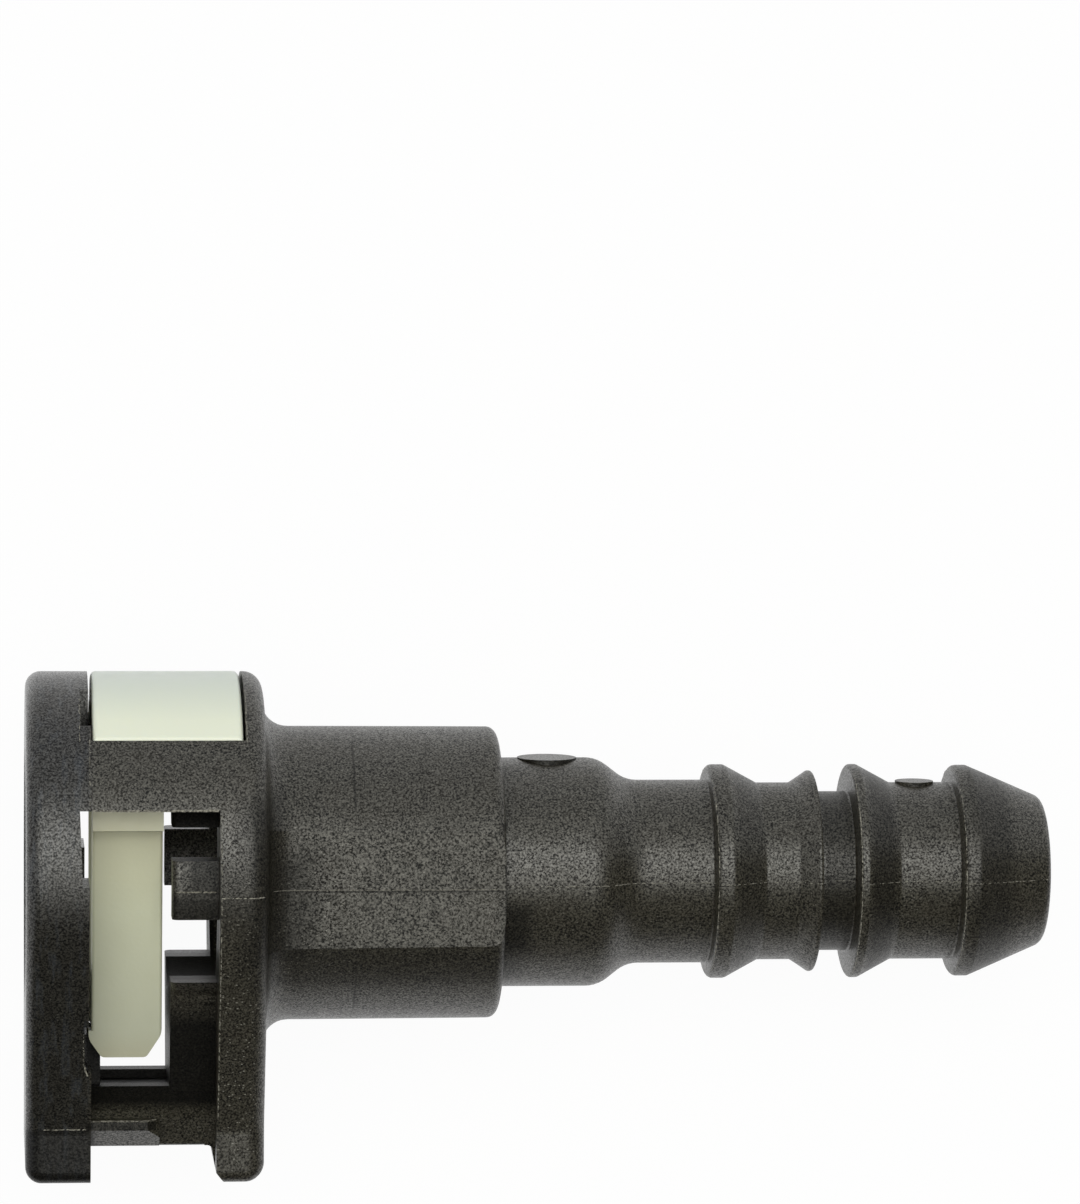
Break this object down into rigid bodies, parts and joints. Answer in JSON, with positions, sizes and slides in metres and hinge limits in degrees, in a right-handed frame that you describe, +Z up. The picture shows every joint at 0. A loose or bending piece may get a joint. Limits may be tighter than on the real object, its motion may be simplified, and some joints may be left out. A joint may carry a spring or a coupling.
{
  "type": "fuel line connector",
  "caption": "Straight push-on quick connector for a fuel line: moulded open-sided head, press-to-release retainer with legs that clasp the tube, and a barbed hose stem.",
  "frame": {"origin": "on the tube axis, at the front face of the front rim", "axes": "+X along the tube axis from the mouth to the tip of the hose stem; +Z up as the connector lies on its side; the button points along +Y, tilted up by 16.54 degrees"},
  "size_m": [0.0594, 0.0298, 0.0224],
  "materials": {
    "body": "as-moulded glass-filled nylon, semi-matt black with fine fibres",
    "retainer": "as-moulded off-white acetal, satin",
    "bush": "as-moulded natural nylon",
    "seal": "smooth fluoroelastomer, lightly lubricated",
    "spacer": "as-moulded nylon"
  },
  "bodies": {
    "connector": {"body": "body", "seal_bush": "bush", "o_ring_outer": "seal", "spacer_ring": "spacer", "o_ring_inner": "seal"},
    "retainer": {"retainer": "retainer"}
  },
  "joints": [
    {"name": "release_press", "type": "slide", "parent": "connector", "child": "retainer", "axis": [0, -0.9586, -0.2846], "range_m": [0, 0.0015], "stiffness_N_per_m": 8000}
  ]
}
